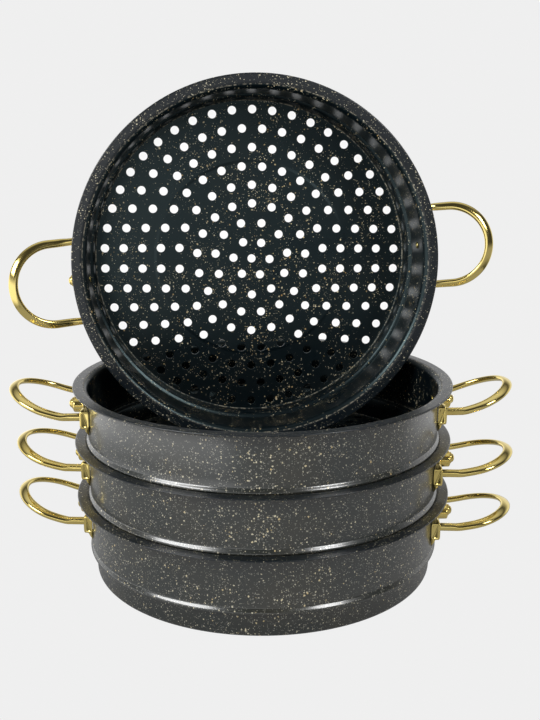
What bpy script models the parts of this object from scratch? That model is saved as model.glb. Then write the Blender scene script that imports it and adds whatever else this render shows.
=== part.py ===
"""Four perforated steamer tiers: three nested in a stack, the fourth stood upright in the top one.

Metres, +Z up. The origin is on the floor under the middle of the stack. X runs about
from handle to handle, and the open side of the upright tier faces -Y.
"""

import math

import bmesh
import bpy
from mathutils import Matrix, Vector

# Pan of a tier, a pressed sheet: its rim's radius, how far the wall, the bead and the foot are
# set from one another, and heights above its underside. A bead runs round the wall's lower end,
# over the shoulder that rests on the tier below
FLANGE_RADIUS = 0.150
FLANGE_REACH = 0.0106
BEAD_STAND = 0.0019
FOOT_TOP_SET = 0.0020
FOOT_DRAFT = 0.0008
TIER_HEIGHT = 0.0642
FOOT_HEIGHT = 0.0185
SHEET = 0.0015
RIM_BEND = 0.0057
BEAD_ROUND = 0.0031
BEAD_TAPER = 0.0050
FOOT_ROUND = 0.0026
PAN_SIDES = 28

# Steam holes: a centre hole and rings about it, the last one set in from the foot. Each hole has
# four sides and a round hole's area
HOLE_DIAMETER = 0.0072
RING_MARGIN = 0.0094
RING_COUNTS = (6, 11, 17, 22, 28, 34, 40, 46)
INNER_RING_HEADINGS = (math.radians(112.2), math.radians(101.3), math.radians(105.1))
PATTERN_AXIS = math.radians(-5.8)
HOLE_SIDES = 4
STACKED_RING_STEP = 4

# Handle: a rod bent to a D, level as far as the flange, then lifted and flattened along its grip
ROD_DIAMETER = 0.0063
ROD_SIDES = 6
GRIP_WIDTH = 0.0078
GRIP_THICKNESS = 0.0048
ARM_SPACING = 0.0654
HANDLE_STAND = 0.0515
HANDLE_BEND = 0.0343
LEVEL_SHARE = 0.54
LIFT_CURVE = 1.28
HANDLE_STEPS = 10
FLAT_LIMIT = 1.2

# Of each tier, lowest first: how far its arms are below the rim, and its right and left grips'
# rise above the arms
ARM_DROPS = (0.0240, 0.0231, 0.0216, 0.0225)
HANDLE_LIFTS = ((0.0108, 0.0160), (0.0109, 0.0134), (0.0163, 0.0158), (0.0119, 0.0129))

# Bracket under the flange: a boss for the rivet between two ears for the rod's ends
BOSS_REACH = 0.0118
BOSS_WIDTH = 0.0190
BOSS_HEIGHT = 0.0150
BOSS_SET = 0.0016
WEB_THICKNESS = 0.0030
WEB_HEIGHT = 0.0090
EAR_WIDTH = 0.0100
EAR_REACH = 0.0052
EAR_HEIGHT = 0.0140
EAR_SET = 0.0010
EAR_STANDOFF = 0.0006
TAIL_LENGTH = 0.0044
TAIL_WIDTH = 0.0056
TAIL_TIP = 0.0016
ROD_SOCKET = 0.0040
SLAB_THICKNESS = 0.060
DRILL_BEYOND = 0.002

# Rivet through the boss and the wall. Its head's dome has its edge and its shoulder at shares
# of the head's radius and height
RIVET_HEAD = 0.0070
RIVET_HEAD_HEIGHT = 0.0036
RIVET_EDGE = 0.3
RIVET_SHOULDER = (0.7, 0.8)
RIVET_SHANK = 0.0036
RIVET_INNER_HEAD = 0.0060
RIVET_INNER_HEIGHT = 0.0007
RIVET_SIDES = 6

# Gaps between pieces that touch
SEAT_GAP = 0.00035
FIT_GAP = 0.0003

# Turn of each stacked tier about the stack's axis, lowest first
TIER_TURNS = (math.radians(-3.3), math.radians(-3.3), math.radians(1.9))

# The upright tier: how its open side faces, how far it leans back and how it is rolled.
# Its resting place is sought in small steps on points along its facets
UPRIGHT_TURN = math.radians(5.9)
UPRIGHT_LEAN = math.radians(3.8)
UPRIGHT_ROLL = math.radians(4.95)
SEAT_SAMPLES = 20
SEAT_STEPS = 60

PAN_MATERIAL = ("granite_coating", (0.045, 0.046, 0.047, 1.0), 0.0, 0.38)
GOLD_MATERIAL = ("polished_gold", (0.83, 0.62, 0.25, 1.0), 1.0, 0.16)

WALL_RADIUS = FLANGE_RADIUS - FLANGE_REACH
INNER_WALL = WALL_RADIUS - SHEET
BEAD_RADIUS = WALL_RADIUS + BEAD_STAND
FOOT_TOP_RADIUS = WALL_RADIUS - FOOT_TOP_SET
FOOT_RADIUS = FOOT_TOP_RADIUS - FOOT_DRAFT
RING_SPACING = (FOOT_RADIUS - RING_MARGIN) / len(RING_COUNTS)
HANDLE_REACH = FLANGE_RADIUS + HANDLE_STAND
BEND_CENTRE = (INNER_WALL + RIM_BEND, TIER_HEIGHT - RIM_BEND)
BEAD_CENTRE = (BEAD_RADIUS - BEAD_ROUND, FOOT_HEIGHT + BEAD_ROUND)


def nesting_pitch():
    """Rise from one tier to the next, whose bead rests on the bend of the flange below."""
    reach = RIM_BEND + BEAD_ROUND + SEAT_GAP
    across = BEND_CENTRE[0] - BEAD_CENTRE[0]
    return BEND_CENTRE[1] + math.sqrt(reach ** 2 - across ** 2) - BEAD_CENTRE[1]


def seat_angle():
    """Heading from the bend's centre to the resting bead's centre, in degrees from +X."""
    across = BEAD_CENTRE[0] - BEND_CENTRE[0]
    return math.degrees(math.acos(across / (RIM_BEND + BEAD_ROUND + SEAT_GAP)))


def material(name, colour, metallic, roughness):
    """A Principled material, made once."""
    found = bpy.data.materials.get(name)
    if found:
        return found
    made = bpy.data.materials.new(name)
    made.use_nodes = True
    shader = made.node_tree.nodes["Principled BSDF"]
    shader.inputs["Base Color"].default_value = colour
    shader.inputs["Metallic"].default_value = metallic
    shader.inputs["Roughness"].default_value = roughness
    return made


def collection(name):
    """A collection in the scene."""
    made = bpy.data.collections.new(name)
    bpy.context.scene.collection.children.link(made)
    return made


def add_object(name, data, group, parent=None, finish=None):
    """An object of the given data in a collection, under a parent."""
    made = bpy.data.objects.new(name, data)
    group.objects.link(made)
    made.parent = parent
    if finish:
        data.materials.append(material(*finish))
    return made


def mesh_from(name, source):
    """A closed mesh object data from a curve or a modified object, which is then removed."""
    graph = bpy.context.evaluated_depsgraph_get()
    mesh = bpy.data.meshes.new_from_object(source.evaluated_get(graph))
    mesh.name = name
    mesh.transform(source.matrix_world)
    bpy.data.objects.remove(source)
    shape = bmesh.new()
    shape.from_mesh(mesh)
    bmesh.ops.remove_doubles(shape, verts=shape.verts, dist=1e-6)
    bmesh.ops.recalc_face_normals(shape, faces=shape.faces)
    shape.to_mesh(mesh)
    shape.free()
    return mesh


def smooth_by_angle(mesh, degrees=32):
    """Smooth shading with sharp edges kept."""
    mesh.shade_smooth()
    mesh.set_sharp_from_angle(angle=math.radians(degrees))


def as_cutter(thing):
    """Keep an object out of the model."""
    thing.hide_render = True
    thing.display_type = "WIRE"


def arc(centre, radius, *angles):
    """Points on an arc at the given angles, in degrees from +X."""
    points = []
    for angle in map(math.radians, angles):
        points.append((centre[0] + radius * math.cos(angle), centre[1] + radius * math.sin(angle)))
    return points


def pan_profile():
    """Half section of the pan: up its inside, over the flange, down its outside."""
    seat = seat_angle()
    foot_centre = (FOOT_RADIUS - FOOT_ROUND, FOOT_ROUND)
    bead_top = BEAD_CENTRE[1] + BEAD_TAPER
    inside = arc(foot_centre, FOOT_ROUND - SHEET, -90, 0)
    inside.append((FOOT_TOP_RADIUS - SHEET, FOOT_HEIGHT))
    inside += arc(BEAD_CENTRE, BEAD_ROUND - SHEET, -90, 0)
    inside.append((INNER_WALL, bead_top))
    rim = arc(BEND_CENTRE, RIM_BEND, 180, seat, 90)
    rim.append((FLANGE_RADIUS, TIER_HEIGHT))
    rim.append((FLANGE_RADIUS, TIER_HEIGHT - SHEET))
    rim += arc(BEND_CENTRE, RIM_BEND - SHEET, 90, seat, 180)
    outside = [(WALL_RADIUS, bead_top)]
    outside += arc(BEAD_CENTRE, BEAD_ROUND, 0, seat - 180)
    outside.append((FOOT_TOP_RADIUS, FOOT_HEIGHT))
    outside += arc(foot_centre, FOOT_ROUND, 0, -45, -90)
    return inside + rim + outside


def turned(name, profile, sides, group, closed=False):
    """A profile of (radius, height) points turned about Z, as a temporary object."""
    mesh = bpy.data.meshes.new(name)
    points = [(radius, 0.0, height) for radius, height in profile]
    links = [(index, index + 1) for index in range(len(points) - 1)]
    if closed:
        links.append((len(points) - 1, 0))
    mesh.from_pydata(points, links, [])
    made = add_object(name, mesh, group)
    screw = made.modifiers.new("Turn", "SCREW")
    screw.steps = sides
    screw.render_steps = sides
    screw.use_merge_vertices = True
    screw.merge_threshold = 0.00001
    return made


def hole_places(ring_step):
    """Centres of the steam holes and their headings, from the rim inwards."""
    places = [(0.0, 0.0, 0.0)]
    for ring in range(len(RING_COUNTS), 0, -ring_step):
        spacing = math.tau / RING_COUNTS[ring - 1]
        first = PATTERN_AXIS + spacing / 2
        if ring <= len(INNER_RING_HEADINGS):
            first = INNER_RING_HEADINGS[ring - 1]
        reach = RING_SPACING * ring
        for index in range(RING_COUNTS[ring - 1]):
            heading = first + spacing * index
            places.append((reach * math.cos(heading), reach * math.sin(heading), heading))
    return places


def punch(name, ring_step, group):
    """The cutter for a floor's holes."""
    equal_area = math.sqrt(math.tau / (HOLE_SIDES * math.sin(math.tau / HOLE_SIDES)))
    radius = HOLE_DIAMETER / 2 * equal_area
    shape = bmesh.new()
    for across, along, heading in hole_places(ring_step):
        place = Matrix.Translation((across, along, SHEET / 2)) @ Matrix.Rotation(heading, 4, "Z")
        bmesh.ops.create_cone(
            shape, cap_ends=True, segments=HOLE_SIDES, radius1=radius, radius2=radius,
            depth=SHEET * 4, matrix=place,
        )
    mesh = bpy.data.meshes.new(name)
    shape.to_mesh(mesh)
    shape.free()
    made = add_object(name, mesh, group)
    as_cutter(made)
    return made


def drill(name, diameter, start, end, sides, group, parent=None):
    """A round cutter along X between two distances from the axis."""
    shape = bmesh.new()
    place = Matrix.Translation(((start + end) / 2, 0.0, 0.0)) @ Matrix.Rotation(math.pi / 2, 4, "Y")
    bmesh.ops.create_cone(
        shape, cap_ends=True, segments=sides, radius1=diameter / 2, radius2=diameter / 2,
        depth=end - start, matrix=place,
    )
    mesh = bpy.data.meshes.new(name)
    shape.to_mesh(mesh)
    shape.free()
    made = add_object(name, mesh, group, parent)
    as_cutter(made)
    return made


def cut(target, cutter):
    """Subtract a cutter."""
    boolean = target.modifiers.new("Cut " + cutter.name, "BOOLEAN")
    boolean.operation = "DIFFERENCE"
    boolean.object = cutter
    boolean.solver = "EXACT"


def add_pan(tier, ring_step, turn, arm_height, parts, cutters):
    """The pan: its turned sheet, its floor, its steam holes and its rivet holes."""
    source = turned(tier.name + "_section", pan_profile(), PAN_SIDES, parts)
    bpy.context.view_layer.update()
    mesh = mesh_from(tier.name + "_pan", source)
    shape = bmesh.new()
    shape.from_mesh(mesh)
    bmesh.ops.holes_fill(shape, edges=[edge for edge in shape.edges if edge.is_boundary], sides=0)
    bmesh.ops.recalc_face_normals(shape, faces=shape.faces)
    bmesh.ops.rotate(shape, verts=shape.verts, cent=(0, 0, 0), matrix=Matrix.Rotation(-turn, 3, "Z"))
    shape.to_mesh(mesh)
    shape.free()
    smooth_by_angle(mesh)
    pan = add_object(tier.name + "_pan", mesh, parts, tier, PAN_MATERIAL)
    holes = punch(tier.name + "_steam_holes", ring_step, cutters)
    holes.parent = tier
    cut(pan, holes)
    for side, heading in SIDES:
        hole = drill(
            tier.name + "_rivet_hole_" + side, RIVET_SHANK + 2 * FIT_GAP,
            INNER_WALL - 2 * DRILL_BEYOND, WALL_RADIUS + DRILL_BEYOND, RIVET_SIDES, cutters, tier,
        )
        hole.location.z = arm_height + BOSS_SET
        hole.rotation_euler.z = heading
        cut(pan, hole)
    return pan


def level_end():
    """Distance from the axis at which the arms stop being level."""
    return ear_front() + LEVEL_SHARE * (HANDLE_REACH - HANDLE_BEND - ear_front())


def handle_path():
    """Centreline of the handle in plan, from one rod end to the other."""
    start = ear_front() - ROD_SOCKET + FIT_GAP
    bend_start = HANDLE_REACH - HANDLE_BEND
    long_axis = HANDLE_BEND - GRIP_WIDTH / 2
    points = [(start, -ARM_SPACING / 2), (level_end(), -ARM_SPACING / 2)]
    for step in range(HANDLE_STEPS + 1):
        angle = math.pi * (step / HANDLE_STEPS - 0.5)
        points.append((bend_start + long_axis * math.cos(angle), ARM_SPACING / 2 * math.sin(angle)))
    points += [(level_end(), ARM_SPACING / 2), (start, ARM_SPACING / 2)]
    return points


def grip_share(reach):
    """How far along from the level arm to the tip a distance from the axis is, 0 to 1."""
    share = (reach - level_end()) / (HANDLE_REACH - GRIP_WIDTH / 2 - level_end())
    return min(max(share, 0.0), FLAT_LIMIT)


def add_handle(tier, side, heading, arm_height, lift, parts):
    """A handle: the rod along its path, flattened and lifted towards the grip."""
    name = tier.name + "_handle_" + side
    path = bpy.data.curves.new(name, "CURVE")
    path.dimensions = "3D"
    path.bevel_depth = ROD_DIAMETER / 2
    path.bevel_resolution = ROD_SIDES // 2 - 2
    path.use_fill_caps = True
    points = handle_path()
    spline = path.splines.new("POLY")
    spline.points.add(len(points) - 1)
    for point, (reach, along) in zip(spline.points, points):
        point.co = (reach, along, 0.0, 1.0)
        swell = GRIP_WIDTH / ROD_DIAMETER - 1
        point.radius = 1 + swell * grip_share(reach)
    source = add_object(name + "_path", path, parts)
    bpy.context.view_layer.update()
    mesh = mesh_from(name, source)
    for vertex in mesh.vertices:
        share = grip_share(vertex.co.x)
        flat = 1 + (GRIP_THICKNESS / GRIP_WIDTH - 1) * min(share, 1.0)
        vertex.co.z = vertex.co.z * flat + lift * share ** LIFT_CURVE
    smooth_by_angle(mesh, 50)
    handle = add_object(name, mesh, parts, tier, GOLD_MATERIAL)
    handle.location.z = arm_height
    handle.rotation_euler.z = heading
    return handle


def ear_front():
    """Distance from the axis of the ears' outer faces, measured along the arm."""
    wall_at_arm = math.sqrt(WALL_RADIUS ** 2 - (ARM_SPACING / 2) ** 2)
    return wall_at_arm + EAR_STANDOFF + EAR_REACH


def extruded(name, outline, thickness, group):
    """A flat outline, given as (x, y) points, as a closed slab about its plane."""
    path = bpy.data.curves.new(name, "CURVE")
    path.dimensions = "2D"
    path.fill_mode = "BOTH"
    path.extrude = thickness / 2
    spline = path.splines.new("POLY")
    spline.points.add(len(outline) - 1)
    for point, (across, along) in zip(spline.points, outline):
        point.co = (across, along, 0.0, 1.0)
    spline.use_cyclic_u = True
    return add_object(name, path, group)


def mirrored(half):
    """An outline in (reach, along) from its half at positive along values."""
    return half + [(reach, -along) for reach, along in reversed(half)]


def bracket_plan():
    """Outline of the bracket from above: boss, webs and ears round the wall."""
    seat = WALL_RADIUS + FIT_GAP
    ear_inner = ARM_SPACING / 2 - EAR_WIDTH / 2
    ear_outer = ARM_SPACING / 2 + EAR_WIDTH / 2
    boss_half = BOSS_WIDTH / 2

    def on_wall(offset, along):
        return (math.sqrt((seat + offset) ** 2 - along ** 2), along)

    outer = [
        (WALL_RADIUS + BOSS_REACH, boss_half - WEB_THICKNESS / 2),
        on_wall(WEB_THICKNESS, boss_half),
        on_wall(WEB_THICKNESS + EAR_STANDOFF, ear_inner),
        (ear_front(), ear_inner),
        (ear_front(), ear_outer),
    ]
    inner = [
        on_wall(EAR_STANDOFF, ear_outer),
        on_wall(EAR_STANDOFF, ear_inner),
        on_wall(0.0, boss_half),
        on_wall(0.0, boss_half / 2),
    ]
    return mirrored(outer + inner)


def bracket_front():
    """Outline of the bracket seen along X, as (height, along) from the rivet's axis."""
    ear_inner = ARM_SPACING / 2 - EAR_WIDTH / 2
    beyond = ARM_SPACING / 2 + EAR_WIDTH
    ear_outer = ARM_SPACING / 2 + EAR_WIDTH / 2
    ear_top = EAR_HEIGHT / 2 - EAR_SET
    ear_bottom = -EAR_HEIGHT / 2 - EAR_SET
    boss_half = BOSS_WIDTH / 2
    return mirrored([
        (BOSS_SET + BOSS_HEIGHT / 2, boss_half - WEB_THICKNESS),
        (WEB_HEIGHT / 2, boss_half + WEB_THICKNESS),
        (WEB_HEIGHT / 2, ear_inner - WEB_THICKNESS),
        (ear_top, ear_inner),
        (ear_top, beyond),
        (ear_bottom - TAIL_LENGTH, beyond),
        (ear_bottom - TAIL_LENGTH, ear_outer - TAIL_TIP),
        (ear_bottom, ear_outer - TAIL_WIDTH),
        (ear_bottom, ear_inner),
        (-WEB_HEIGHT / 2, ear_inner - WEB_THICKNESS),
        (-WEB_HEIGHT / 2, boss_half + WEB_THICKNESS),
        (BOSS_SET - BOSS_HEIGHT / 2, boss_half - WEB_THICKNESS),
    ])


def add_bracket(tier, side, heading, arm_height, parts, cutters):
    """A bracket: its plan and front outlines intersected, drilled for the rivet and the rod."""
    name = tier.name + "_bracket_" + side
    plan = extruded(name + "_plan", bracket_plan(), SLAB_THICKNESS, cutters)
    front = extruded(name + "_front", bracket_front(), SLAB_THICKNESS, cutters)
    front.location.x = WALL_RADIUS
    front.rotation_euler.y = -math.pi / 2
    bpy.context.view_layer.update()
    body = mesh_from(name, plan)
    front_mesh = mesh_from(name + "_front", front)
    bracket = add_object(name, body, parts, tier, GOLD_MATERIAL)
    bracket.location.z = arm_height
    bracket.rotation_euler.z = heading
    mould = add_object(name + "_mould", front_mesh, cutters, bracket)
    as_cutter(mould)
    meet = bracket.modifiers.new("Front outline", "BOOLEAN")
    meet.operation = "INTERSECT"
    meet.object = mould
    meet.solver = "EXACT"
    rivet_hole = drill(
        name + "_rivet_hole", RIVET_SHANK + 2 * FIT_GAP, WALL_RADIUS - DRILL_BEYOND,
        WALL_RADIUS + BOSS_REACH + DRILL_BEYOND, RIVET_SIDES, cutters, bracket,
    )
    rivet_hole.location.z = BOSS_SET
    cut(bracket, rivet_hole)
    for along in (-ARM_SPACING / 2, ARM_SPACING / 2):
        socket = drill(
            name + "_socket", ROD_DIAMETER + 2 * FIT_GAP, ear_front() - ROD_SOCKET,
            ear_front() + DRILL_BEYOND, ROD_SIDES, cutters, bracket,
        )
        socket.location.y = along
        cut(bracket, socket)
    return bracket


def add_rivet(tier, side, heading, arm_height, parts):
    """A rivet: a domed head on the boss, a shank through the wall and a low head inside."""
    name = tier.name + "_rivet_" + side
    seat = WALL_RADIUS + BOSS_REACH + FIT_GAP
    inner_seat = INNER_WALL * math.cos(math.pi / PAN_SIDES) - FIT_GAP
    head = RIVET_HEAD / 2
    profile = [
        (0.0, seat + RIVET_HEAD_HEIGHT),
        (head * RIVET_SHOULDER[0], seat + RIVET_HEAD_HEIGHT * RIVET_SHOULDER[1]),
        (head, seat + RIVET_HEAD_HEIGHT * RIVET_EDGE),
        (head, seat),
        (RIVET_SHANK / 2, seat),
        (RIVET_SHANK / 2, inner_seat),
        (RIVET_INNER_HEAD / 2, inner_seat),
        (RIVET_INNER_HEAD / 2, inner_seat - RIVET_INNER_HEIGHT),
        (0.0, inner_seat - RIVET_INNER_HEIGHT),
    ]
    source = turned(name + "_section", profile, RIVET_SIDES, parts)
    source.rotation_euler.y = math.pi / 2
    bpy.context.view_layer.update()
    mesh = mesh_from(name, source)
    smooth_by_angle(mesh)
    rivet = add_object(name, mesh, parts, tier, GOLD_MATERIAL)
    rivet.location.z = arm_height + BOSS_SET
    rivet.rotation_euler.z = heading
    return rivet


def add_tier(index, place, ring_step, turn, parts, cutters):
    """A whole tier under an empty at the middle of its underside."""
    tier = bpy.data.objects.new("tier_%d" % index, None)
    parts.objects.link(tier)
    tier.matrix_world = place
    arm_height = TIER_HEIGHT - ARM_DROPS[index - 1]
    add_pan(tier, ring_step, turn, arm_height, parts, cutters)
    for (side, heading), lift in zip(SIDES, HANDLE_LIFTS[index - 1]):
        add_bracket(tier, side, heading, arm_height, parts, cutters)
        add_handle(tier, side, heading, arm_height, lift, parts)
        add_rivet(tier, side, heading, arm_height, parts)
    return tier


def clearance(across, along, height):
    """Gap from a point to the inside of a faceted pan whose base is at height 0."""
    facet = math.tau / PAN_SIDES
    heading = math.atan2(along, across) % facet
    reach = math.hypot(across, along) * math.cos(heading - facet / 2) / math.cos(facet / 2)
    if height < BEND_CENTRE[1]:
        return INNER_WALL - reach
    if reach > BEND_CENTRE[0]:
        return height - TIER_HEIGHT
    return math.hypot(reach - BEND_CENTRE[0], height - BEND_CENTRE[1]) - RIM_BEND


def upright_outline(turn):
    """Points along the facet edges of the upright pan, turned."""
    outline = []
    for side in range(PAN_SIDES * SEAT_SAMPLES):
        share = side % SEAT_SAMPLES / SEAT_SAMPLES
        facet = math.tau / PAN_SIDES
        angle = side // SEAT_SAMPLES * facet
        across = (1 - share) * math.cos(angle) + share * math.cos(angle + facet)
        along = (1 - share) * math.sin(angle) + share * math.sin(angle + facet)
        for radius, height in pan_profile():
            outline.append(turn @ Vector((radius * across, radius * along, height)))
    return outline


def upright_place(base):
    """The upright tier stands on the top tier's floor and leans on its rim at two places."""
    facing = Matrix.Rotation(UPRIGHT_TURN, 4, "Z") @ Matrix.Rotation(math.pi / 2 - UPRIGHT_LEAN, 4, "X")
    turn = facing @ Matrix.Rotation(UPRIGHT_ROLL, 4, "Z")
    outline = upright_outline(turn)
    rise = SHEET + SEAT_GAP - min(point.z for point in outline)
    low = [point for point in outline if point.z + rise < TIER_HEIGHT + RIM_BEND]
    shift = 0.0
    back = TIER_HEIGHT / 2
    for _ in range(SEAT_STEPS):
        gaps = {True: FLANGE_RADIUS, False: FLANGE_RADIUS}
        for point in low:
            gap = clearance(point.x + shift, point.y + back, point.z + rise)
            gaps[point.x > 0] = min(gaps[point.x > 0], gap)
        back += (min(gaps.values()) - SEAT_GAP) / 2
        shift += (gaps[True] - gaps[False]) / 4
    return Matrix.Translation((shift, back, base + rise)) @ turn


SIDES = (("right", 0.0), ("left", math.pi))


def build():
    """The whole model."""
    for thing in list(bpy.data.objects):
        bpy.data.objects.remove(thing)
    parts = collection("steamer_tiers")
    cutters = collection("cutters")
    pitch = nesting_pitch()
    for index, turn in enumerate(TIER_TURNS):
        place = Matrix.Translation((0.0, 0.0, pitch * index)) @ Matrix.Rotation(turn, 4, "Z")
        add_tier(index + 1, place, STACKED_RING_STEP, turn, parts, cutters)
    top_base = pitch * (len(TIER_TURNS) - 1)
    add_tier(len(TIER_TURNS) + 1, upright_place(top_base), 1, 0.0, parts, cutters)


build()
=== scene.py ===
"""Stacked steamer tiers with a granite coating and gilt loop handles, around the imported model."""

import math

import bmesh
import bpy
from mathutils import Matrix, Vector
from mathutils.geometry import delaunay_2d_cdt
from mathutils.kdtree import KDTree


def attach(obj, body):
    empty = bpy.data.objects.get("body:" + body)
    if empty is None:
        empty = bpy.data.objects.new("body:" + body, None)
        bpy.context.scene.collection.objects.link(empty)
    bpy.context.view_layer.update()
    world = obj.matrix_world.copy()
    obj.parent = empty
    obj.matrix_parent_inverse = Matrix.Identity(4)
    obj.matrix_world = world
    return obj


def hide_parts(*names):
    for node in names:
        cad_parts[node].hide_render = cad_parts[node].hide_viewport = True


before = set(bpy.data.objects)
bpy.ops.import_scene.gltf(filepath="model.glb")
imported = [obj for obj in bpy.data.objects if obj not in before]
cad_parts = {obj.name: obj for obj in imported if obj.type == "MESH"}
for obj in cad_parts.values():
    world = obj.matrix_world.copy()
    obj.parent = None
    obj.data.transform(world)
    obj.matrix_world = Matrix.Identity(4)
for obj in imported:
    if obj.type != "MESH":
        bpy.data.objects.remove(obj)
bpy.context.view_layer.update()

# Lengths are in metres and angles in degrees.

# Pan of a tier, as in the part's source
FLANGE_RADIUS = 0.150
WALL_RADIUS = 0.1394
BEAD_RADIUS = 0.1413
FOOT_TOP_RADIUS = 0.1374
FOOT_RADIUS = 0.1366
TIER_HEIGHT = 0.0642
FOOT_HEIGHT = 0.0185
SHEET = 0.0015
RIM_BEND = 0.0057
BEAD_ROUND = 0.0016
BEAD_LEVEL = 0.02055
BEAD_FLANK = 0.0036
HOLLOW_ROUND = 0.0012
FOOT_ROUND = 0.0026
SHOULDER_ROUND = 0.0008
INNER_SHOULDER = 0.0006
PITCH = 0.0442866

# Where the rim's coating gives way to the inside's, round a bend from the flange at 90 to
# the wall at 180
RIM_TURN = 112

# Where the bead's round starts, just above the foot's shoulder
BEAD_START = -80

# Steps round the pan, along the bead's flank, up the wall and across the flange
PAN_STEPS = 224
FLANK_STEPS = 12
WALL_STEPS = 6
FLANGE_STEPS = 4

# Steam holes: a centre hole and rings of them, at even spacing
HOLE_RADIUS = 0.0036
HOLE_EDGE = 0.0003
HOLE_STEPS = 20
RING_SPACING = 0.0159
RING_COUNTS = (6, 11, 17, 22, 28, 34, 40, 46)
INNER_RING_HEADINGS = (112.2, 101.3, 105.1)
PATTERN_AXIS = -5.8

# Widths of the painted highlight lines: rim's inner edge, bead's hollow, floor's corner, flange's
# edge
RIM_LINE = 0.0006
BEAD_LINE = 0.0008
CORNER_LINE = 0.0007
FLANGE_LINE = 0.0005

# Where the line in the floor's corner lies, as a share of its round, and how far the
# flange's line lies in from the edge and down from the top
CORNER_SHARE = 0.7
FLANGE_LINE_IN = 0.0003
FLANGE_LINE_DOWN = 0.0012

# Depth of the handles' arms below the rim, for each tier
ARM_DROPS = (0.0240, 0.0231, 0.0216, 0.0225)

# Right and left handle of each tier: the grip's rise, the arm's shift, its turn,
# the twist at the arms and the longer reach
HANDLES = (
    ((0.0105, -0.0009, -0.30, -0.0018, 0.0000), (0.0164, 0.0006, 0.34, -0.0005, 0.0010)),
    ((0.0109, -0.0005, 0.45, -0.0004, -0.0002), (0.0135, 0.0003, -0.45, -0.0011, 0.0008)),
    ((0.0166, -0.0006, 0.61, -0.0009, 0.0000), (0.0157, 0.0009, -0.68, -0.0016, 0.0002)),
    ((0.0118, -0.0006, -0.80, -0.0002, -0.0003), (0.0130, 0.0004, 0.46, 0.0010, 0.0005)),
)
HANDLE_REACH = 0.2013
HANDLE_BEND = 0.0343
GRIP_HALF = 0.0038
ARM_HALF = 0.0327
ARM_START = 0.1376
ARM_STEPS = 14
GRIP_STEPS = 48
LEVEL_END = 0.1549
LIFT_CURVE = 1.28

# The rod's section: round as far as ROUND_END, past it a tilted oval, and wider and lower
# still towards the grip's end
ROD_HALF = 0.0030
ROD_STEPS = 36
ROD_SQUARENESS = (0.92, 0.80)
ROUND_END = 0.150
OVAL_FULL = 0.160
TILT_FULL = 0.158
FLAT_LEAD = 0.002
ARM_WIDER = 0.0003
ARM_LOWER = 0.0004
GRIP_WIDER = 0.0006
GRIP_LOWER = 0.0004
ARM_TILT = 25
GRIP_LEVELLING = 6

# Half of the bracket: distance along the wall, outer face, middle height and half height
CASTING_STATIONS = (
    (0.0000, 0.1440, 0.0012, 0.0050),
    (0.0100, 0.1440, 0.0012, 0.0050),
    (0.0140, 0.1432, 0.0020, 0.0046),
    (0.0200, 0.1418, 0.0026, 0.0044),
    (0.0255, 0.1405, 0.0022, 0.0048),
    (0.0275, 0.1402, 0.0006, 0.0058),
    (0.0284, 0.1408, -0.0007, 0.0068),
    (0.0292, 0.1414, -0.0010, 0.0071),
    (0.0384, 0.1414, -0.0010, 0.0071),
    (0.0391, 0.1412, -0.0010, 0.0069),
    (0.0395, 0.1408, -0.0010, 0.0066),
)
CASTING_GAP = 0.0003
CASTING_STEPS = 32
CASTING_SQUARENESS = (0.30, 0.30)
POCKET_BORDER = 0.0009
POCKET_SLOPE = 0.0006
POCKET_DEPTH = 0.0004

# Pointed tail under each ear: its heights from the arm and half sizes
TAIL_STATIONS = ((-0.0060, 0.0020), (-0.0085, 0.0017), (-0.0110, 0.0011), (-0.0135, 0.0003))
TAIL_ALONG = 0.0375
TAIL_EDGE = 0.0380
TAIL_GAP = 0.0004
TAIL_SEAT = 0.9
TAIL_STEPS = 12
TAIL_SQUARENESS = (0.5, 0.5)

# Half section of the boss's side: distance from its own axis, then from the pan's
BOSS_SIDE = ((0.0, 0.1410), (0.0068, 0.1410), (0.0066, 0.1440), (0.0064, 0.1496))
BOSS_EDGE = (0.0052, 0.1500)
BOSS_ROUND = 0.0012
BOSS_TOP = 0.1512
BOSS_RISE = 0.0010
BOSS_STRETCH = 1.42
BOSS_STEPS = 36
BOSS_SET = 0.0016

# Rivet: outer head from its seat on the boss, and inner head from the pan's inside
RIVET_SEAT = 0.1513
RIVET_GAP = 0.0002
RIVET_TOP = 0.0038
RIVET_STEPS = 28
DOME_HALF = 0.0036
DOME_LEVEL = 0.0015
DOME_RISE = 0.0023
DOME_ANGLES = range(15, 91, 15)
OUTER_HEAD = (
    (0.0038, 0.0013), (0.0044, 0.0013), (0.0047, 0.0010), (0.0047, 0.0002), (0.0045, 0.0),
    (0.0018, 0.0),
)
INNER_HEAD = ((0.0018, 0.0), (0.0028, 0.0), (0.0028, 0.0004), (0.0020, 0.0008), (0.0, 0.0009))

# How the stacked tiers are turned, and how the fourth stands in the top one
TIER_TURNS = (-3.3, -3.3, 1.9)
UPRIGHT_TURN = 5.9
UPRIGHT_LEAN = 3.8
UPRIGHT_ROLL = 4.95
UPRIGHT_PLACE = (-0.00985, 0.09541, 0.23538)

SIDES = (("right", 0), ("left", 180))

ACROSS = Vector((1, 0, 0))
ALONG = Vector((0, 1, 0))
UP = Vector((0, 0, 1))

# Points closer than this are one
SAME = 1e-6
SAME_IN_FLOOR = 1e-7


def turned(angle, axis):
    """The matrix of a turn about an axis."""
    return Matrix.Rotation(math.radians(angle), 4, axis)


def tier_places():
    """World matrices of the four tiers."""
    places = []
    for index, turn in enumerate(TIER_TURNS):
        places.append(Matrix.Translation((0, 0, PITCH * index)) @ turned(turn, "Z"))
    facing = turned(UPRIGHT_TURN, "Z")
    lean = turned(90 - UPRIGHT_LEAN, "X")
    places.append(Matrix.Translation(UPRIGHT_PLACE) @ facing @ lean @ turned(UPRIGHT_ROLL, "Z"))
    return places


# Shader node helpers


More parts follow.
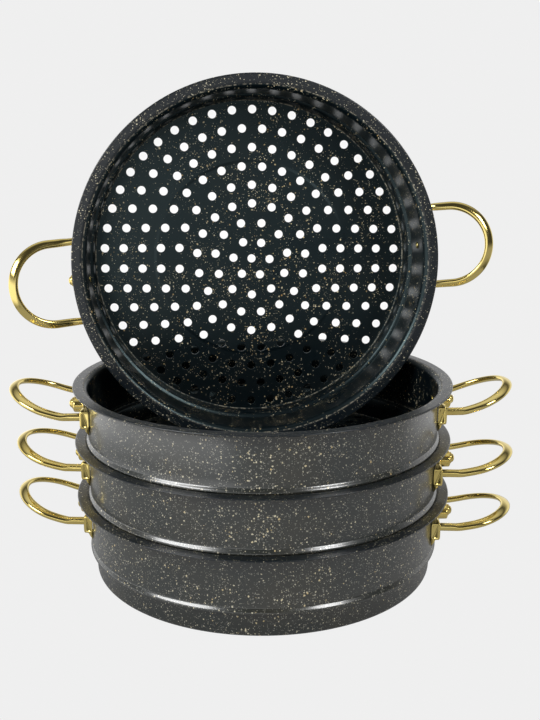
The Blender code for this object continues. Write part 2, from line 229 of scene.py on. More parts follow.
def new_material(name):
    """A material, with its node tree and its Principled shader."""
    material = bpy.data.materials.new(name)
    material.use_nodes = True
    return material, material.node_tree, material.node_tree.nodes["Principled BSDF"]


def feed(tree, socket, value):
    """Link an input to a socket, or set its value."""
    if isinstance(value, bpy.types.NodeSocket):
        tree.links.new(value, socket)
    else:
        socket.default_value = value


def node(tree, kind, **values):
    """A node of a kind, with its properties and inputs set; i0 is its first input, and so on."""
    made = tree.nodes.new(kind)
    for key, value in values.items():
        if hasattr(made, key) and key not in made.inputs.keys():
            setattr(made, key, value)
        elif key[0] == "i" and key[1:].isdigit():
            feed(tree, made.inputs[int(key[1:])], value)
        else:
            feed(tree, made.inputs[key], value)
    return made


def maths(tree, operation, *values):
    """The result of a maths node."""
    made = tree.nodes.new("ShaderNodeMath")
    made.operation = operation
    for socket, value in zip(made.inputs, values):
        feed(tree, socket, value)
    return made.outputs[0]


def blended(tree, factor, first, second):
    """A mix of two colours."""
    made = node(tree, "ShaderNodeMix", data_type="RGBA", i0=factor, i6=first, i7=second)
    return made.outputs[2]


def ranged(tree, value, low, high, start=0.0, end=1.0):
    """A value mapped from one range to another and clamped."""
    made = tree.nodes.new("ShaderNodeMapRange")
    for socket, part in zip(made.inputs, (value, low, high, start, end)):
        feed(tree, socket, part)
    return made.outputs[0]


def noise(tree, place, scale, detail):
    """A noise texture node at a place."""
    return node(tree, "ShaderNodeTexNoise", Vector=place, Scale=scale, Detail=detail)


def length(tree, vector):
    """The length of a vector."""
    return node(tree, "ShaderNodeVectorMath", operation="LENGTH", i0=vector).outputs["Value"]


# Coating; each RANGE holds the ends of what goes in, then of what comes out if not 0 to 1

CREAM = (0.88, 0.80, 0.56, 1.0)
STRAW = (0.76, 0.58, 0.26, 1.0)
ORANGE_GOLD = (0.55, 0.33, 0.09, 1.0)
GREY_DUST = (0.16, 0.17, 0.16, 1.0)
PALE_DUST = (0.46, 0.44, 0.36, 1.0)
# Pale colour painted along the edge lines as a highlight, in place of the glints on the bends
PAINTED_GLINT = (0.50, 0.45, 0.34, 1.0)

# Flakes: how far their outline is ragged, how they crowd, their spread of size and soft edge
RAGGED_SCALE = 900.0
RAGGED_BY = 0.0010
CROWD_SCALE = 38.0
CROWD_RANGE = (0.35, 0.7, -0.5, 0.5)
FLAKE_SPREAD = (0.45, 1.3)
FLAKE_SOFTNESS = 0.7

# Clouds in the ground, and how they change its roughness
CLOUD_SCALE = 22.0
CLOUD_RANGE = (0.42, 0.68)
ROUGH_RANGE = (0.3, 0.7)
ROUGH_SPREAD = (0.92, 1.08)

# Fine relief of the ground and its flakes
PORE_SCALE = 700.0
FLAKE_RISE = 0.25
RELIEF_STRENGTH = 0.06
RELIEF_DEPTH = 0.0003

# Painted highlight lines along the edges, broken into pale patches, and rougher there
GLINT_PATCH_SCALE = 420.0
GLINT_PATCH_RANGE = (0.44, 0.62)
GLINT_ROUGHER = 0.3

# Pressed step in the floor, and the slow fall outside it
STEP_INNER = 0.0825
STEP_OUTER = 0.0850
FALL_END = 0.1320
FALL_TIMES = 4

COAT_ROUGHNESS = 0.18
WHITE = (1.0, 1.0, 1.0, 1.0)


def flake_group():
    """Flakes sprinkled in a coating: one size of flake, in clusters, from Object coordinates."""
    tree = bpy.data.node_groups.new("Coating flakes", "ShaderNodeTree")
    face = tree.interface
    face.new_socket("Vector", in_out="INPUT", socket_type="NodeSocketVector")
    for name in ("Scale", "Size", "Share", "Cluster"):
        face.new_socket(name, in_out="INPUT", socket_type="NodeSocketFloat")
    for name in ("Mask", "Tint"):
        face.new_socket(name, in_out="OUTPUT", socket_type="NodeSocketFloat")
    given = tree.nodes.new("NodeGroupInput").outputs
    result = tree.nodes.new("NodeGroupOutput").inputs
    kind = "ShaderNodeVectorMath"
    ragged = noise(tree, given["Vector"], RAGGED_SCALE, detail=1.0).outputs["Color"]
    centred = node(tree, kind, operation="SUBTRACT", i0=ragged, i1=(0.5, 0.5, 0.5)).outputs[0]
    shift = node(tree, kind, operation="SCALE", i0=centred, Scale=RAGGED_BY).outputs[0]
    place = node(tree, kind, operation="ADD", i0=given["Vector"], i1=shift).outputs[0]
    cells = node(
        tree, "ShaderNodeTexVoronoi", distance="MANHATTAN", Vector=place, Scale=given["Scale"],
    )
    parts = node(tree, "ShaderNodeSeparateColor", Color=cells.outputs["Color"]).outputs
    clouds = noise(tree, given["Vector"], CROWD_SCALE, detail=2.0).outputs["Fac"]
    crowd = ranged(tree, clouds, *CROWD_RANGE)
    share = maths(tree, "MULTIPLY_ADD", crowd, given["Cluster"], given["Share"])
    chosen = maths(tree, "LESS_THAN", parts[0], share)
    size = maths(tree, "MULTIPLY", given["Size"], ranged(tree, parts[1], 0.0, 1.0, *FLAKE_SPREAD))
    edge = maths(tree, "MULTIPLY", size, FLAKE_SOFTNESS)
    inside = ranged(tree, cells.outputs["Distance"], size, edge)
    tree.links.new(maths(tree, "MULTIPLY", chosen, inside), result["Mask"])
    tree.links.new(parts[2], result["Tint"])
    return tree


FLAKES = flake_group()


def flakes(tree, place, scale, size, share, cluster):
    """Mask and tint of one size of flake."""
    made = node(
        tree, "ShaderNodeGroup", node_tree=FLAKES,
        Vector=place, Scale=scale, Size=size, Share=share, Cluster=cluster,
    )
    return made.outputs["Mask"], made.outputs["Tint"]


def coating(
    name, base, cloud, roughness, grains,
    coat=0.0, gloss=1.5, ridge=0.0, press=0.0, sheen=WHITE,
):
    """The granite coating: a dark ground with faint clouds and several sizes of flake.

    Each of the grains is (scale, size, share, cluster, dull colour, bright colour).
    The gloss is the clear coat's index, ridge is how strong the painted highlight lines
    along the edges are, and press is the height of the floor's step.
    """
    material, tree, shader = new_material(name)
    place = tree.nodes.new("ShaderNodeTexCoord").outputs["Object"]
    clouds = noise(tree, place, CLOUD_SCALE, detail=3.0).outputs["Fac"]
    colour = blended(tree, ranged(tree, clouds, *CLOUD_RANGE), base, cloud)
    smooth, rougher = (roughness * part for part in ROUGH_SPREAD)
    rough = ranged(tree, clouds, *ROUGH_RANGE, smooth, rougher)
    height = noise(tree, place, PORE_SCALE, detail=2.0).outputs["Fac"]
    for scale, size, share, cluster, dull, bright in grains:
        mask, tint = flakes(tree, place, scale, size, share, cluster)
        colour = blended(tree, mask, colour, blended(tree, tint, dull, bright))
        height = maths(tree, "MULTIPLY_ADD", mask, FLAKE_RISE, height)
    # Painted highlight: along the lines near the edges the colour turns pale, in patches, in place
    # of the glints on the bends; these lines are rougher too
    if ridge:
        line = node(tree, "ShaderNodeAttribute", attribute_name="ridge").outputs["Fac"]
        patches = noise(tree, place, GLINT_PATCH_SCALE, detail=1.0).outputs["Fac"]
        glint = maths(tree, "MULTIPLY", line, ranged(tree, patches, *GLINT_PATCH_RANGE))
        glint = maths(tree, "MULTIPLY", glint, ridge)
        colour = blended(tree, glint, colour, PAINTED_GLINT)
        rough = maths(tree, "MULTIPLY_ADD", line, GLINT_ROUGHER, rough)
    tree.links.new(colour, shader.inputs["Base Color"])
    tree.links.new(rough, shader.inputs["Roughness"])
    bump = node(
        tree, "ShaderNodeBump", Strength=RELIEF_STRENGTH, Distance=RELIEF_DEPTH, Height=height,
    )
    if press:
        own = node(tree, "ShaderNodeAttribute", attribute_name="own").outputs["Vector"]
        flat = node(
            tree, "ShaderNodeVectorMath", operation="MULTIPLY", i0=own, i1=(1.0, 1.0, 0.0),
        )
        reach = length(tree, flat.outputs[0])
        step = ranged(tree, reach, STEP_INNER, STEP_OUTER, press, 0.0)
        fall = ranged(tree, reach, STEP_OUTER, FALL_END, press * FALL_TIMES, 0.0)
        raised = maths(tree, "ADD", step, fall)
        bump = node(
            tree, "ShaderNodeBump",
            Strength=1.0, Distance=1.0, Height=raised, Normal=bump.outputs[0],
        )
    tree.links.new(bump.outputs[0], shader.inputs["Normal"])
    shader.inputs["Coat Weight"].default_value = coat
    shader.inputs["Coat Roughness"].default_value = COAT_ROUGHNESS
    shader.inputs["Coat IOR"].default_value = gloss
    shader.inputs["Specular Tint"].default_value = sheen
    return material


OUTSIDE = coating(
    "granite_outside",
    base=(0.014, 0.019, 0.017, 1.0), cloud=(0.026, 0.026, 0.018, 1.0), roughness=0.35,
    grains=(
        (1100.0, 0.58, 0.38, 0.2, GREY_DUST, PALE_DUST),
        (640.0, 0.50, 0.24, 0.2, PALE_DUST, CREAM),
        (390.0, 0.40, 0.14, 0.2, STRAW, CREAM),
    ),
    coat=0.7, gloss=2.0,
)
RIM = coating(
    "granite_rim",
    base=(0.003, 0.007, 0.011, 1.0), cloud=(0.006, 0.011, 0.014, 1.0), roughness=0.34,
    grains=(
        (1100.0, 0.56, 0.24, 0.2, GREY_DUST, CREAM),
        (640.0, 0.48, 0.11, 0.3, PALE_DUST, CREAM),
    ),
    coat=0.3, ridge=0.55,
)
INSIDE = coating(
    "granite_inside",
    base=(0.0020, 0.0052, 0.0075, 1.0), cloud=(0.0040, 0.0062, 0.0075, 1.0), roughness=0.29,
    grains=(
        (1100.0, 0.56, 0.10, 0.15, PALE_DUST, CREAM),
        (640.0, 0.48, 0.10, 0.2, STRAW, CREAM),
        (420.0, 0.43, 0.07, 0.3, ORANGE_GOLD, CREAM),
    ),
    ridge=0.9, press=0.00035, sheen=(0.70, 0.96, 1.0, 1.0),
)

# Gold

GOLD = (0.90, 0.73, 0.27, 1.0)
DEEPER_GOLD = (0.84, 0.66, 0.21, 1.0)
HAZE_SCALE = 40.0
HAZE_RANGE = (0.35, 0.7)
POLISH = (0.3, 0.75, 0.13, 0.17)


def gilt():
    """Polished gold plate with faint cloudiness."""
    material, tree, shader = new_material("gilt")
    place = tree.nodes.new("ShaderNodeTexCoord").outputs["Object"]
    haze = noise(tree, place, HAZE_SCALE, detail=1.0).outputs["Fac"]
    colour = blended(tree, ranged(tree, haze, *HAZE_RANGE), GOLD, DEEPER_GOLD)
    tree.links.new(colour, shader.inputs["Base Color"])
    tree.links.new(ranged(tree, haze, *POLISH), shader.inputs["Roughness"])
    shader.inputs["Metallic"].default_value = 1.0
    return material


GILT = gilt()


# Mesh helpers


def meshed(name, shape):
    """Turn a bmesh into a mesh, and free the bmesh."""
    mesh = bpy.data.meshes.new(name)
    shape.to_mesh(mesh)
    shape.free()
    return mesh


def added(name, data):
    """A new object in the scene."""
    made = bpy.data.objects.new(name, data)
    bpy.context.scene.collection.objects.link(made)
    return made


def finished(name, shape, materials, body, node_name):
    """Turn a bmesh into a piece that rides on its body in place of a CAD node."""
    mesh = meshed(name, shape)
    for material in materials:
        mesh.materials.append(material)
    piece = added(name, mesh)
    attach(piece, body)
    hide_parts(node_name)


def arc(centre, radius, start, end, steps):
    """Points on an arc between two headings."""
    points = []
    for step in range(steps + 1):
        angle = math.radians(start + (end - start) * step / steps)
        points.append((centre[0] + radius * math.cos(angle), centre[1] + radius * math.sin(angle)))
    return points


def spun(shape, points, steps, material=0, centres=((0.0, 0.0),)):
    """Spin a half section about Z, and add it to a shape at each of the centres."""
    part = bmesh.new()
    verts = [part.verts.new((reach, 0, height)) for reach, height in points]
    edges = [part.edges.new(pair) for pair in zip(verts, verts[1:])]
    bmesh.ops.spin(
        part, geom=verts + edges, cent=(0, 0, 0), axis=(0, 0, 1), angle=math.tau,
        steps=steps, use_merge=True,
    )
    for face in part.faces:
        face.material_index = material
        face.smooth = True
    mesh = meshed("spun", part)
    for across, along in centres:
        mesh.transform(Matrix.Translation((across, along, 0)))
        shape.from_mesh(mesh)
        mesh.transform(Matrix.Translation((-across, -along, 0)))
    bpy.data.meshes.remove(mesh)


def rounded_ring(shape, place, segments, squareness):
    """A closed ring of edges in a place, from a circle squared off at its sides."""
    made = bmesh.ops.create_circle(shape, cap_ends=False, segments=segments, radius=1.0)
    for vert in made["verts"]:
        across, up = vert.co.x, vert.co.y
        vert.co.x = math.copysign(abs(across) ** squareness[0], across)
        vert.co.y = math.copysign(abs(up) ** squareness[1], up)
    bmesh.ops.transform(shape, matrix=place, verts=made["verts"])
    return list({edge for vert in made["verts"] for edge in vert.link_edges})


def swept(shape, places, segments, squareness):
    """A closed solid through rings at the given places, each a matrix of the ring's axes."""
    edges = rounded_ring(shape, places[0], segments, squareness)
    bmesh.ops.contextual_create(shape, geom=edges)
    for before, after in zip(places, places[1:]):
        made = bmesh.ops.extrude_edge_only(shape, edges=edges)["geom"]
        verts = {part for part in made if isinstance(part, bmesh.types.BMVert)}
        bmesh.ops.transform(shape, matrix=after @ before.inverted(), verts=list(verts))
        drawn = [part for part in made if isinstance(part, bmesh.types.BMEdge)]
        edges = [edge for edge in drawn if all(vert in verts for vert in edge.verts)]
    bmesh.ops.contextual_create(shape, geom=edges)
    for face in shape.faces:
        face.smooth = True


def ring_place(centre, wide, up, normal, half_width, half_height):
    """The matrix of a ring with its width along one direction and its height along another."""
    columns = (wide * half_width, up * half_height, normal, centre)
    return Matrix([[column[row] for column in columns] for row in range(3)] + [(0, 0, 0, 1)])


def smoothed(share):
    """A share from 0 to 1 with a soft start and end."""
    return share * share * (3 - 2 * share)


def eased(value, low, high):
    """Smooth step from 0 at low to 1 at high."""
    return smoothed(min(max((value - low) / (high - low), 0.0), 1.0))


# Pans


def hole_centres():
    """Centres of the steam holes."""
    places = [(0.0, 0.0)]
    for ring, count in enumerate(RING_COUNTS, start=1):
        first = math.radians(PATTERN_AXIS) + math.pi / count
        if ring <= len(INNER_RING_HEADINGS):
            first = math.radians(INNER_RING_HEADINGS[ring - 1])
        reach = RING_SPACING * ring
        for index in range(count):
            heading = first + math.tau * index / count
            places.append((reach * math.cos(heading), reach * math.sin(heading)))
    return places


def floor_face(shape, height, material, centres):
    """Fill the floor between the wall and the holes at one height."""
    edges = [
        edge for edge in shape.edges
        if edge.is_boundary and all(abs(vert.co.z - height) < SAME for vert in edge.verts)
    ]
    verts = list({vert for edge in edges for vert in edge.verts})
    order = {vert: index for index, vert in enumerate(verts)}
    pairs = [tuple(order[vert] for vert in edge.verts) for edge in edges]
    near = KDTree(len(centres))
    for index, (across, along) in enumerate(centres):
        near.insert((across, along, height), index)
    near.balance()
    laid = delaunay_2d_cdt([vert.co.xy for vert in verts], pairs, [], 1, SAME_IN_FLOOR)
    corner_lists, sources = laid[2], laid[3]
    mouth = HOLE_RADIUS + 2 * HOLE_EDGE
    for corners in corner_lists:
        found = [verts[sources[corner][0]] for corner in corners]
        nearest = [near.find(vert.co) for vert in found]
        same_hole = len({index for _, index, _ in nearest}) == 1
        if not same_hole or any(gap > mouth for _, _, gap in nearest):
            shape.faces.new(found).material_index = material


def bead_flank(offset):
    """The slope from the bead up to the wall, at an offset inwards from the outer face."""
    points = []
    for step in range(1, FLANK_STEPS + 1):
        share = step / FLANK_STEPS
        reach = BEAD_RADIUS - offset + (WALL_RADIUS - BEAD_RADIUS) * smoothed(share)
        points.append((reach, BEAD_LEVEL + BEAD_FLANK * share))
    return points


def steps_between(start, end, steps):
    """Even steps between two values, without the ends."""
    return [start + (end - start) * step / steps for step in range(1, steps)]


def pan_shape():
    """The whole pan: foot, bead, wall, rolled rim, inside and pierced floor."""
    inner = WALL_RADIUS - SHEET
    bend = (inner + RIM_BEND, TIER_HEIGHT - RIM_BEND)
    bead = (BEAD_RADIUS - BEAD_ROUND, BEAD_LEVEL)
    hollow = (BEAD_RADIUS - SHEET - HOLLOW_ROUND, BEAD_LEVEL)
    foot = (FOOT_RADIUS - FOOT_ROUND, FOOT_ROUND)
    taper = BEAD_LEVEL + BEAD_FLANK
    edge = SHEET / 2
    shoulder = (FOOT_TOP_RADIUS + SHOULDER_ROUND, FOOT_HEIGHT - SHOULDER_ROUND)
    foot_inner = FOOT_TOP_RADIUS - SHEET

    outside = arc(foot, FOOT_ROUND, -90, 0, steps=8)
    outside += [(FOOT_TOP_RADIUS, shoulder[1])]
    outside += arc(shoulder, SHOULDER_ROUND, 180, 90, steps=3)[1:]
    outside += arc(bead, BEAD_ROUND, BEAD_START, 0, steps=8)
    outside += bead_flank(0.0)
    outside += [(WALL_RADIUS, height) for height in steps_between(taper, bend[1], WALL_STEPS)]
    outside += arc(bend, RIM_BEND - SHEET, 180, 90, steps=10)

    rim = [outside[-1]]
    rim += arc((FLANGE_RADIUS - edge, TIER_HEIGHT - edge), edge, -90, 90, steps=8)
    rim += [(reach, TIER_HEIGHT) for reach in steps_between(FLANGE_RADIUS, bend[0], FLANGE_STEPS)]
    rim += arc(bend, RIM_BEND, 90, RIM_TURN, steps=4)

    inside = arc(bend, RIM_BEND, RIM_TURN, 180, steps=12)
    inside += [(inner, height) for height in steps_between(bend[1], taper, WALL_STEPS)]
    inside += list(reversed(bead_flank(SHEET)))
    inside += arc(hollow, HOLLOW_ROUND, 0, BEAD_START, steps=6)
    inside += [(foot_inner + INNER_SHOULDER, FOOT_HEIGHT)]
    inside += [(foot_inner, FOOT_HEIGHT - INNER_SHOULDER)]
    inside += arc(foot, FOOT_ROUND - SHEET, 0, -90, steps=6)

    shape = bmesh.new()
    for material, points in enumerate((outside, rim, inside)):
        spun(shape, points, PAN_STEPS, material)
    bmesh.ops.remove_doubles(shape, verts=shape.verts, dist=SAME)
    sleeve = arc((HOLE_RADIUS + HOLE_EDGE, SHEET - HOLE_EDGE), HOLE_EDGE, 90, 180, steps=2)
    sleeve += arc((HOLE_RADIUS + HOLE_EDGE, HOLE_EDGE), HOLE_EDGE, 180, 270, steps=2)
    centres = hole_centres()
    spun(shape, sleeve, HOLE_STEPS, 2, centres)
    floor_face(shape, 0.0, 0, centres)
    floor_face(shape, SHEET, 2, centres)
    bmesh.ops.recalc_face_normals(shape, faces=shape.faces)
    mark_pan(shape, bend, foot)
    return shape


def mark_pan(shape, bend, foot):
    """Store each point's place in the pan and how near it is to a painted highlight line."""
    own = shape.verts.layers.float_vector.new("own")
    ridge = shape.verts.layers.float.new("ridge")
    turn = math.radians(RIM_TURN)
    corner = (FOOT_ROUND - SHEET) * CORNER_SHARE
    # Lines that get the painted highlight: the rim's bend, the bead's hollow, the floor's corner
    # and the flange's edge
    lines = (
        (bend[0] + RIM_BEND * math.cos(turn), bend[1] + RIM_BEND * math.sin(turn), RIM_LINE),
        (BEAD_RADIUS - SHEET, BEAD_LEVEL, BEAD_LINE),
        (foot[0] + corner, foot[1] - corner, CORNER_LINE),
        (FLANGE_RADIUS - FLANGE_LINE_IN, TIER_HEIGHT - FLANGE_LINE_DOWN, FLANGE_LINE),
    )
    for vert in shape.verts:
        vert[own] = vert.co
        reach = vert.co.xy.length
        for line_reach, line_height, width in lines:
            gap = math.hypot(reach - line_reach, vert.co.z - line_height)
            vert[ridge] = max(vert[ridge], 1 - gap / width)


# Handles, brackets and rivets


def handle_line(lift, twist, longer):
    """The centre line of a loop handle: an arm, the rising bend of the grip and the other arm."""
    far = HANDLE_REACH + longer
    tip = far - GRIP_HALF
    bend_start = far - HANDLE_BEND
    long_axis = HANDLE_BEND - GRIP_HALF
    arm = [ARM_START + (bend_start - ARM_START) * step / ARM_STEPS for step in range(ARM_STEPS)]
    plan = [(reach, -ARM_HALF) for reach in arm]
    for step in range(GRIP_STEPS + 1):
        angle = math.pi * (step / GRIP_STEPS - 0.5)
        plan.append((bend_start + long_axis * math.cos(angle), ARM_HALF * math.sin(angle)))
    plan += [(reach, ARM_HALF) for reach in reversed(arm)]
    points = []
    for reach, along in plan:
        share = max((reach - LEVEL_END) / (tip - LEVEL_END), 0.0)
        rise = lift * share ** LIFT_CURVE + twist * along / ARM_HALF
        points.append(Vector((reach, along, rise)))
    return points, tip


def handle_shape(lift, twist, longer):
    """A loop handle: round arms from the bracket, lifted and flattened into the grip."""
    points, tip = handle_line(lift, twist, longer)
    places = []
    for index, point in enumerate(points):
        ahead = points[min(index + 1, len(points) - 1)] - points[max(index - 1, 0)]
        ahead.normalize()
        wide = ahead.cross(UP).normalized()
        up = wide.cross(ahead)
        share = eased(point.x, LEVEL_END - FLAT_LEAD, tip)
        tilt = math.radians(ARM_TILT - GRIP_LEVELLING * share)
        tilt *= eased(point.x, ROUND_END, TILT_FULL)
        leaned = wide * math.cos(tilt) - up * math.sin(tilt)
        raised = up * math.cos(tilt) + wide * math.sin(tilt)
        arm = eased(point.x, ROUND_END, OVAL_FULL)
        width = ROD_HALF + ARM_WIDER * arm + GRIP_WIDER * share
        height = ROD_HALF - ARM_LOWER * arm - GRIP_LOWER * share
        places.append(ring_place(point, leaned, raised, ahead, width, height))
    shape = bmesh.new()
    swept(shape, places, ROD_STEPS, ROD_SQUARENESS)
    bmesh.ops.recalc_face_normals(shape, faces=shape.faces)
    return shape


def sunk_ends(shape):
    """Give each ear's end face a border and a shallow pocket."""
    for face in [face for face in shape.faces if len(face.verts) > 4]:
        outward = math.copysign(1.0, face.calc_center_median().y)
        face.smooth = False
        for thickness in (POCKET_BORDER, POCKET_SLOPE):
            border = bmesh.ops.inset_region(
                shape, faces=[face], thickness=thickness, use_even_offset=True,
            )["faces"]
            for side_face in border:
                side_face.smooth = False
        bmesh.ops.translate(shape, verts=face.verts, vec=(0, -POCKET_DEPTH * outward, 0))


def boss_shape():
    """The oval boss in the middle of a bracket, about the X axis."""
    boss = bmesh.new()
    points = list(BOSS_SIDE) + arc(BOSS_EDGE, BOSS_ROUND, 0, 90, steps=4) + [(0.0, BOSS_TOP)]
    spun(boss, points, BOSS_STEPS)
    bmesh.ops.remove_doubles(boss, verts=boss.verts, dist=SAME)
    rise = Matrix.Translation((0, 0, BOSS_RISE))
    turn = rise @ Matrix.Diagonal((1, BOSS_STRETCH, 1, 1)) @ turned(90, "Y")
    bmesh.ops.transform(boss, matrix=turn, verts=boss.verts)
    return boss


def casting_shape():
    """The bracket: an oval boss, webs along the wall, and square ears with a pocket and a tail."""
    mirrored = [(-along, *rest) for along, *rest in reversed(CASTING_STATIONS[1:])]
    places = []
    for along, outer, middle, half_height in mirrored + list(CASTING_STATIONS):
        inner = math.sqrt((WALL_RADIUS + CASTING_GAP) ** 2 - along ** 2)
        centre = Vector(((inner + outer) / 2, along, middle))
        places.append(ring_place(centre, ACROSS, UP, ALONG, (outer - inner) / 2, half_height))
    shape = bmesh.new()
    swept(shape, places, CASTING_STEPS, CASTING_SQUARENESS)
    sunk_ends(shape)
    corner = math.sqrt((WALL_RADIUS + TAIL_GAP) ** 2 - TAIL_EDGE ** 2)
    for side in (-1, 1):
        tail = []
        for drop, size in TAIL_STATIONS:
            centre = Vector((corner + size * TAIL_SEAT, side * TAIL_ALONG, drop))
            tail.append(ring_place(centre, ACROSS, ALONG, UP, size, size))
        swept(shape, tail, TAIL_STEPS, TAIL_SQUARENESS)
    mesh = meshed("boss", boss_shape())
    shape.from_mesh(mesh)
    bpy.data.meshes.remove(mesh)
    bmesh.ops.recalc_face_normals(shape, faces=shape.faces)
    return shape


def rivet_shape():
    """A domed rivet with a wide rim, through the boss and the wall, about the X axis."""
    inner = WALL_RADIUS - SHEET - RIVET_GAP
    points = [(0.0, RIVET_SEAT + RIVET_TOP)]
    for angle in DOME_ANGLES:
        across = DOME_HALF * math.sin(math.radians(angle))
        rise = DOME_LEVEL + DOME_RISE * math.cos(math.radians(angle))
        points.append((across, RIVET_SEAT + rise))
    points += [(across, RIVET_SEAT + rise) for across, rise in OUTER_HEAD]
    points += [(across, inner - depth) for across, depth in INNER_HEAD]
    shape = bmesh.new()
    spun(shape, points, RIVET_STEPS)
    bmesh.ops.remove_doubles(shape, verts=shape.verts, dist=SAME)
    bmesh.ops.transform(shape, matrix=turned(90, "Y"), verts=shape.verts)
    bmesh.ops.recalc_face_normals(shape, faces=shape.faces)
    return shape


def build_fittings(number, body, place):
    """The handles, brackets and rivets of a tier, each in place of its CAD node."""
    arm_height = TIER_HEIGHT - ARM_DROPS[number - 1]
    for (side, heading), values in zip(SIDES, HANDLES[number - 1]):
        lift, shift, turn, twist, longer = values
        at_arm = place @ turned(heading, "Z") @ Matrix.Translation((0, 0, arm_height))
        swung = Matrix.Translation((0, 0, shift)) @ turned(turn, "Z")
        for kind, made, mount in (
            ("handle", handle_shape(lift, twist, longer), at_arm @ swung),
            ("bracket", casting_shape(), at_arm),
            ("rivet", rivet_shape(), at_arm @ Matrix.Translation((0, 0, BOSS_SET))),
        ):
            bmesh.ops.transform(made, matrix=mount, verts=made.verts)
            name = "gilt_%s_%d_%s" % (kind, number, side)
            node_name = "%s_%s_%s" % (body, kind, side)
            finished(name, made, (GILT,), body, node_name)


def build_tiers():
    """Every piece of the four tiers."""
    pan = pan_shape()
    layers = (OUTSIDE, RIM, INSIDE)
    for number, place in enumerate(tier_places(), start=1):
        body = "tier_%d" % number
        shape = pan.copy()
        bmesh.ops.transform(shape, matrix=place, verts=shape.verts)
        finished("pan_shell_%d" % number, shape, layers, body, body + "_pan")
        build_fittings(number, body, place)
    pan.free()


build_tiers()


# Studio: pale floor and surroundings, soft boxes to the left and right, and the camera

# Levels of light
PALE = 0.864
DIM = 0.045
SHADED = 0.24
TABLE = 0.37
CEILING = 0.70
LEFT_WALL = 1.25
BEHIND_HOLES = 1.02

FLOOR_RADIUS = 0.48
FLOOR_STEPS = 96
FLOOR_LEVEL = -0.0005

# Where the stack's shade ends on the floor
SHADE_RANGE = (0.147, 0.165)

# Edges of the parts of the surroundings, each by one part of the direction, and a slant of
# the left wall's edge
GROUND_UP = (-0.60, -0.35)
HORIZON_UP = (0.30, 0.62)
BACK_DEPTH = (-0.10, 0.40)
LEFT_ACROSS = (0.24, -0.02)
LEFT_SLANT = -1.25
LEFT_UP = (0.10, 0.30)
TABLE_UP = (0.02, -0.12)
CEILING_DEPTH = (-0.45, 0.10)
CEILING_UP = (0.60, 0.92)

# The direction of the upright pan's floor, and how near to it the backdrop grows brighter
PIERCED_WAY = (-0.0122, 0.9909, -0.1337)
PIERCED_NEAR = (0.98450, 0.99220)

# Soft boxes: azimuth, elevation, distance, width, height and power
SOFT_BOXES = (
    ("left_soft_box", -54, 32, 1.6, 0.95, 0.5, 14),
    ("right_soft_box", 43, 32, 1.6, 0.45, 0.5, 8),
)
SOFT_BOX_AIM = Vector((0, 0, 0.16))

CAMERA_PLACE = (0, -0.7372, 0.3476)
CAMERA_AXES = (
    (0.99997, -0.00781, -0.00032),
    (0.00217, 0.23833, 0.97118),
    (-0.00751, -0.97115, 0.23834),
)
CAMERA_LENS = 47.5
SENSOR_HEIGHT = 36
NEAREST_SEEN = 0.01


def add_floor():
    """A round floor under the stack: pale to the eye, dim in reflections."""
    shape = bmesh.new()
    bmesh.ops.create_circle(shape, cap_ends=True, segments=FLOOR_STEPS, radius=FLOOR_RADIUS)
    bmesh.ops.translate(shape, verts=shape.verts, vec=(0, 0, FLOOR_LEVEL))
    mesh = meshed("studio_floor", shape)
    material = bpy.data.materials.new("pale_floor")
    material.use_nodes = True
    tree = material.node_tree
    tree.nodes.clear()
    eye = tree.nodes.new("ShaderNodeLightPath").outputs["Is Camera Ray"]
    spot = tree.nodes.new("ShaderNodeTexCoord").outputs["Object"]
    felt = ranged(tree, length(tree, spot), *SHADE_RANGE, SHADED, TABLE)
    level = ranged(tree, eye, 0.0, 1.0, felt, PALE)
    light = node(tree, "ShaderNodeEmission", Color=WHITE, Strength=level)
    out = tree.nodes.new("ShaderNodeOutputMaterial")
    tree.links.new(light.outputs[0], out.inputs["Surface"])
    mesh.materials.append(material)
    floor = added("studio_floor", mesh)


def surrounding_light(tree, way):
    """The light that reaches the object from a direction, given by its X, Y and Z."""
    across, depth, height = way["X"], way["Y"], way["Z"]
    ground = ranged(tree, height, *GROUND_UP)
    horizon = maths(tree, "MULTIPLY", ground, ranged(tree, height, *HORIZON_UP, 1.0, 0.0))
    back = maths(tree, "MULTIPLY", horizon, ranged(tree, depth, *BACK_DEPTH, 0.0, PALE))
    slanted = maths(tree, "MULTIPLY_ADD", height, LEFT_SLANT, across)
    left = maths(tree, "MULTIPLY", ground, ranged(tree, slanted, *LEFT_ACROSS, 0.0, LEFT_WALL))
    left = maths(tree, "MULTIPLY", left, ranged(tree, height, *LEFT_UP, 1.0, 0.0))
    table = maths(tree, "MULTIPLY", ground, ranged(tree, height, *TABLE_UP, 0.0, TABLE))
    above = maths(tree, "MULTIPLY", ranged(tree, depth, *CEILING_DEPTH), CEILING)
    above = maths(tree, "MULTIPLY", ranged(tree, height, *CEILING_UP), above)
    above = maths(tree, "MAXIMUM", above, DIM)
    behind = maths(tree, "MAXIMUM", back, above)
    return maths(tree, "MAXIMUM", behind, maths(tree, "MAXIMUM", left, table))


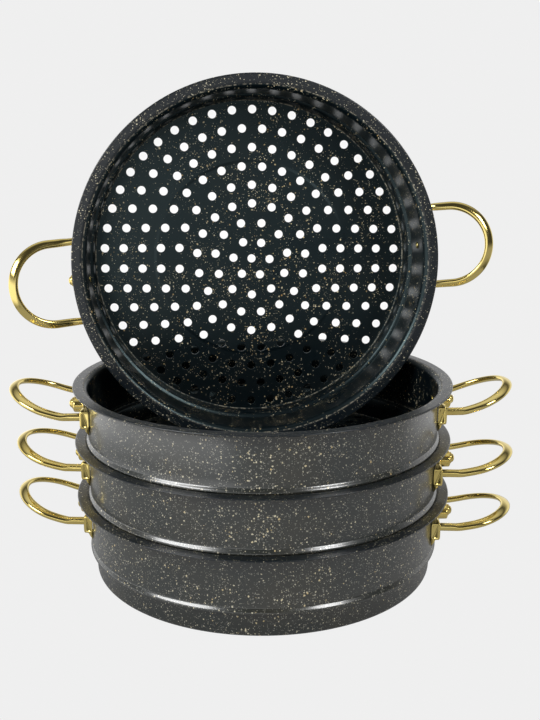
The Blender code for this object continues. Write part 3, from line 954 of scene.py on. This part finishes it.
def add_surroundings():
    """Surroundings pale all round to the camera, and for the rest with a part for each side."""
    world = bpy.data.worlds.new("studio")
    bpy.context.scene.world = world
    world.use_nodes = True
    tree = world.node_tree
    tree.nodes.clear()
    spot = tree.nodes.new("ShaderNodeTexCoord").outputs["Generated"]
    around = surrounding_light(tree, node(tree, "ShaderNodeSeparateXYZ", Vector=spot).outputs)
    middle = node(tree, "ShaderNodeVectorMath", operation="DOT_PRODUCT", i0=spot, i1=PIERCED_WAY)
    backdrop = ranged(tree, middle.outputs["Value"], *PIERCED_NEAR, PALE, BEHIND_HOLES)
    eye = tree.nodes.new("ShaderNodeLightPath").outputs["Is Camera Ray"]
    shown = maths(tree, "MULTIPLY", eye, backdrop)
    felt = maths(tree, "MULTIPLY", maths(tree, "SUBTRACT", 1.0, eye), around)
    level = maths(tree, "ADD", shown, felt)
    sky = node(tree, "ShaderNodeBackground", Color=WHITE, Strength=level)
    out = tree.nodes.new("ShaderNodeOutputWorld")
    tree.links.new(sky.outputs[0], out.inputs["Surface"])


def add_soft_box(name, azimuth, elevation, distance, width, height, power):
    """A rectangular light turned to the stack; azimuth 0 is in front, positive to the right."""
    turn, rise = math.radians(azimuth), math.radians(elevation)
    level = math.cos(rise)
    away = Vector((math.sin(turn) * level, -math.cos(turn) * level, math.sin(rise)))
    lamp = bpy.data.lights.new(name, "AREA")
    lamp.shape = "RECTANGLE"
    lamp.size = width
    lamp.size_y = height
    lamp.energy = power
    made = added(name, lamp)
    made.location = SOFT_BOX_AIM + away * distance
    made.rotation_euler = away.to_track_quat("Z", "Y").to_euler()
    made.visible_camera = False


def add_camera():
    """The camera, placed as the photograph's perspective asks."""
    lens = bpy.data.cameras.new("photo_camera")
    lens.sensor_fit = "VERTICAL"
    lens.sensor_height = SENSOR_HEIGHT
    lens.lens = CAMERA_LENS
    lens.clip_start = NEAREST_SEEN
    camera = added("photo_camera", lens)
    rows = [[axis[row] for axis in CAMERA_AXES] + [CAMERA_PLACE[row]] for row in range(3)]
    camera.matrix_world = Matrix(rows + [[0, 0, 0, 1]])
    bpy.context.scene.camera = camera


add_floor()
add_surroundings()
for soft_box in SOFT_BOXES:
    add_soft_box(*soft_box)
add_camera()
bpy.context.scene.view_settings.view_transform = "Standard"
